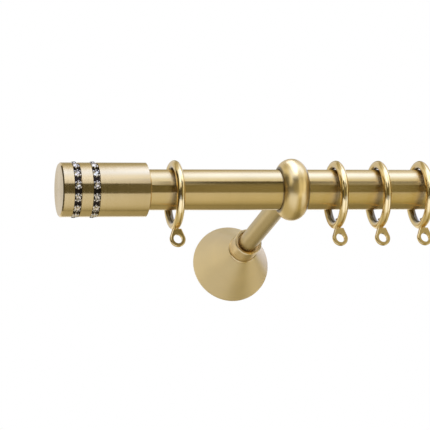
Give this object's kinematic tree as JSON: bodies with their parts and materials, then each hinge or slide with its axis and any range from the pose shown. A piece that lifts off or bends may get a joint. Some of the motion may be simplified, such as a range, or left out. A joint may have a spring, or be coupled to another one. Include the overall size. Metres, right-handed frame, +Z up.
{
  "type": "curtain rod",
  "caption": "Satin brass curtain pole end: tube with a jewelled cylindrical finial, a rounded collar bracket on a conical wall rosette, and sliding rings with swivel eyelets.",
  "frame": {"origin": "centre of the bracket's wall face, on the wall plane", "axes": "+X along the pole away from the finial, +Y into the wall, +Z up"},
  "size_m": [0.2649, 0.1814, 0.0628],
  "materials": {
    "satin_brass": "satin, fine turned brushing",
    "polished_brass": "smooth, half polished",
    "zinc_steel": "zinc plated",
    "dark_cups": "blackened",
    "clear_stone": "cut and polished"
  },
  "bodies": {
    "pole_and_bracket": {"pole_tube": "satin_brass", "finial_body": "satin_brass", "finial_grub_screw": "zinc_steel", "cup_chain_1": "dark_cups", "cup_chain_2": "dark_cups", "stones_1": "clear_stone", "stones_2": "clear_stone", "bracket_collar": "polished_brass", "collar_grub_screw": "zinc_steel", "bracket_arm": "satin_brass", "rosette_cone": "satin_brass", "rosette_sleeve": "satin_brass", "sleeve_grub_screw": "zinc_steel", "mounting_plate": "zinc_steel", "plate_screw": "zinc_steel"},
    "ring_1_body": {"ring_1": "polished_brass"},
    "eyelet_1_body": {"ring_eyelet_1": "polished_brass"},
    "ring_2_body": {"ring_2": "polished_brass"},
    "eyelet_2_body": {"ring_eyelet_2": "polished_brass"},
    "ring_3_body": {"ring_3": "polished_brass"},
    "eyelet_3_body": {"ring_eyelet_3": "polished_brass"},
    "ring_4_body": {"ring_4": "polished_brass"},
    "eyelet_4_body": {"ring_eyelet_4": "polished_brass"}
  },
  "joints": [
    {"name": "ring_1_slide", "type": "slide", "parent": "pole_and_bracket", "child": "ring_1_body", "axis": [1, 0, 0], "range_m": [-0.0136, 0.063]},
    {"name": "eyelet_1_swivel", "type": "hinge", "parent": "ring_1_body", "child": "eyelet_1_body", "pos_m": [-0.07465, -0.16, -0.0316], "axis": [0, 0, 1], "continuous": true},
    {"name": "ring_2_slide", "type": "slide", "parent": "pole_and_bracket", "child": "ring_2_body", "axis": [1, 0, 0], "range_m": [-0.017, 0.0085]},
    {"name": "eyelet_2_swivel", "type": "hinge", "parent": "ring_2_body", "child": "eyelet_2_body", "pos_m": [0.02845, -0.16, -0.0316], "axis": [0, 0, 1], "continuous": true},
    {"name": "ring_3_slide", "type": "slide", "parent": "pole_and_bracket", "child": "ring_3_body", "axis": [1, 0, 0], "range_m": [-0.0085, 0.0085]},
    {"name": "eyelet_3_swivel", "type": "hinge", "parent": "ring_3_body", "child": "eyelet_3_body", "pos_m": [0.05605, -0.16, -0.0316], "axis": [0, 0, 1], "continuous": true},
    {"name": "ring_4_slide", "type": "slide", "parent": "pole_and_bracket", "child": "ring_4_body", "axis": [1, 0, 0], "range_m": [-0.0085, 0.031]},
    {"name": "eyelet_4_swivel", "type": "hinge", "parent": "ring_4_body", "child": "eyelet_4_body", "pos_m": [0.08365, -0.16, -0.0316], "axis": [0, 0, 1], "continuous": true}
  ]
}
